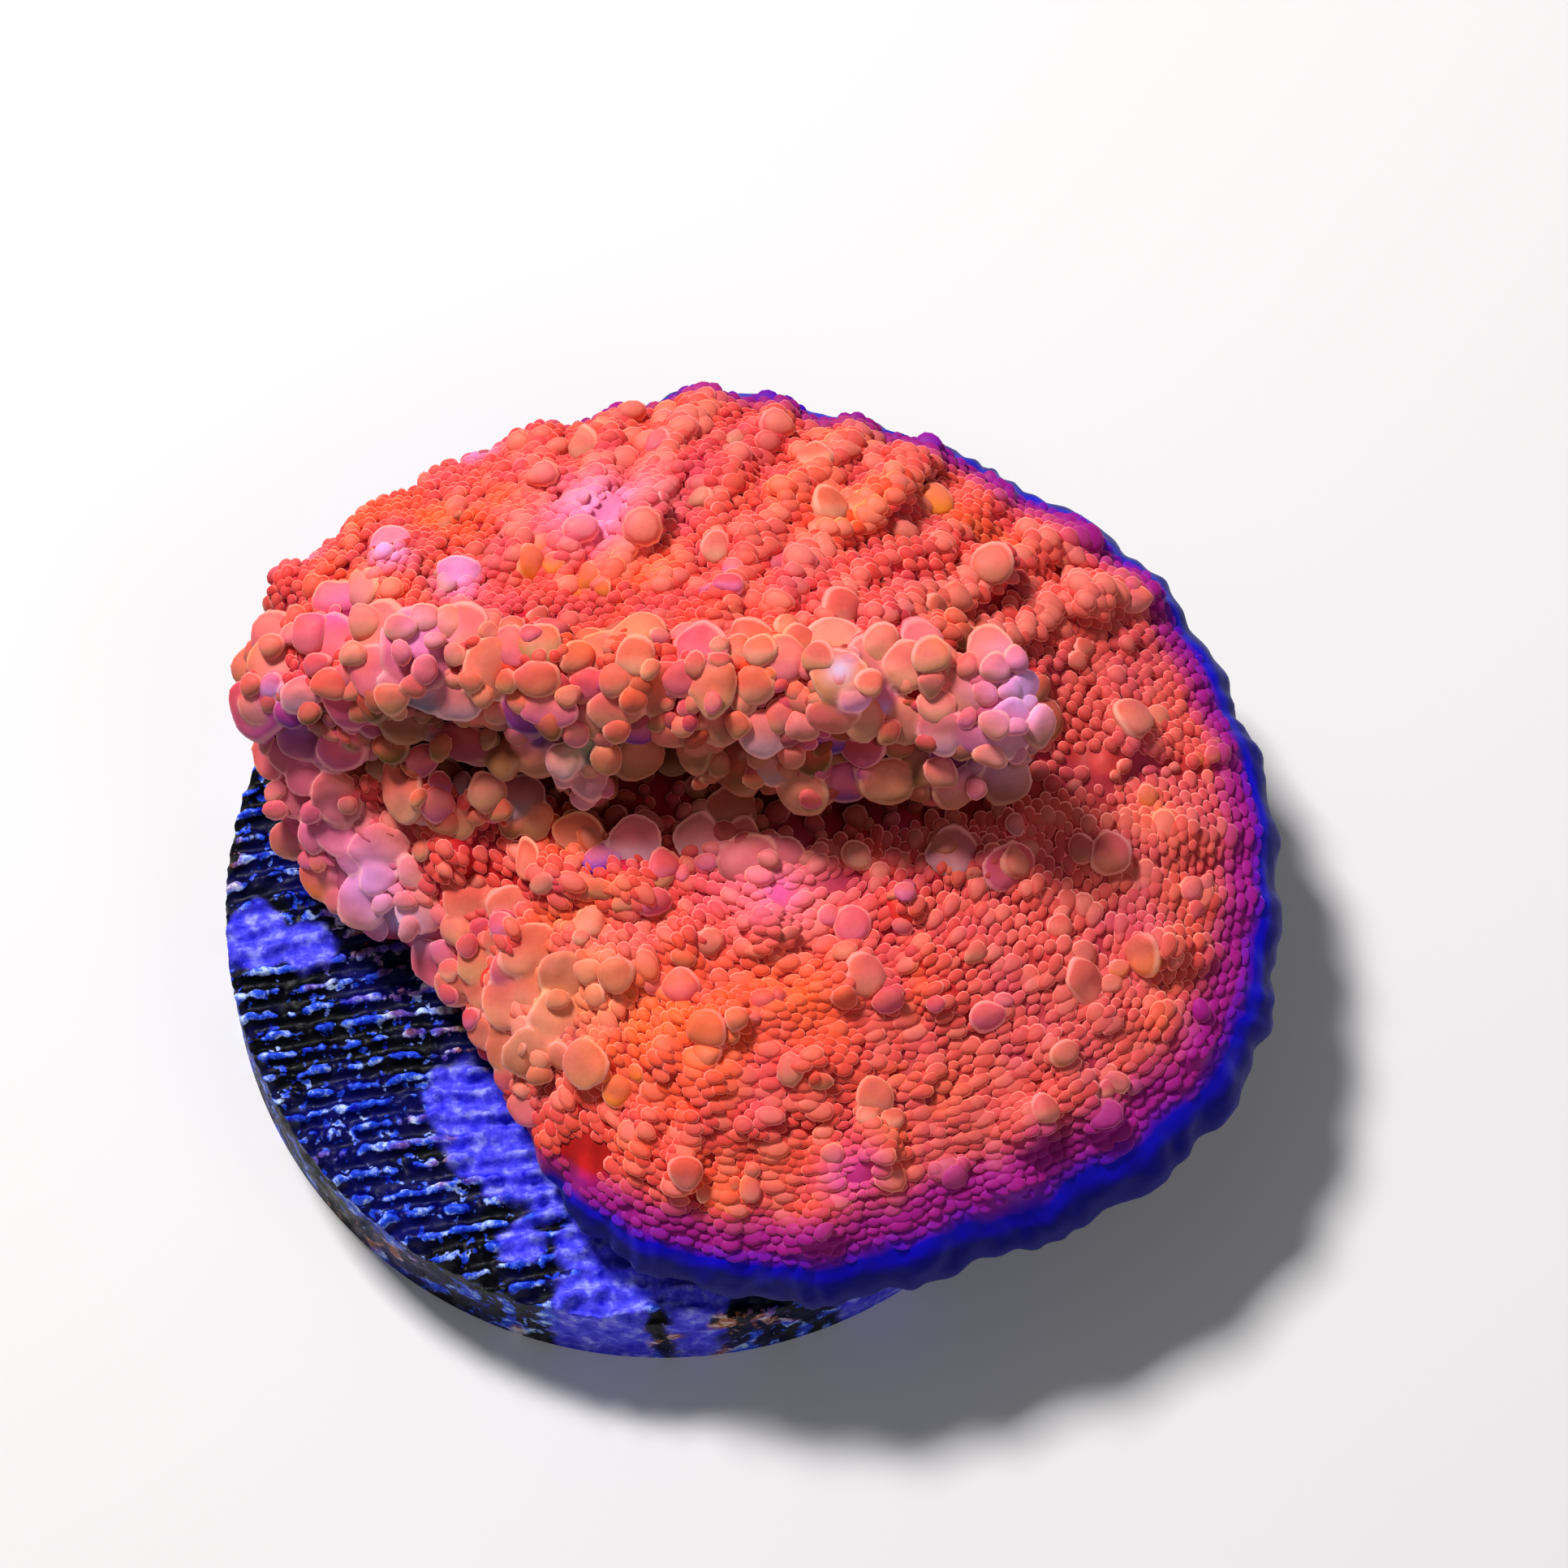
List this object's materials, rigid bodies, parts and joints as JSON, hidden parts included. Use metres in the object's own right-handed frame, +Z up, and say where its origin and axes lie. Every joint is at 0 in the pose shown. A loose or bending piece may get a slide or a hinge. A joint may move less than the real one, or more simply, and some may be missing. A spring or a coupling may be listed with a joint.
{
  "type": "chalice coral frag",
  "caption": "Chalice coral colony: a thin round plate covered with bumps, with a raised shelf that ends in a lumpy overhanging fold, grown on a ribbed round frag disc.",
  "frame": {"origin": "the middle of the disc's flat underside, which rests on the surface", "axes": "+Z up, +X right along the fold, -Y towards the front, where the plate lies open below the fold"},
  "size_m": [0.0458, 0.0409, 0.0215],
  "materials": {
    "coral": "living coral tissue over a lime skeleton, salmon orange with a blue-violet rim",
    "disc": "dark unglazed ceramic, ribbed, with violet-blue coralline algae"
  },
  "bodies": {
    "root": {"chalice_coral": "coral", "frag_disc": "disc"}
  },
  "joints": []
}
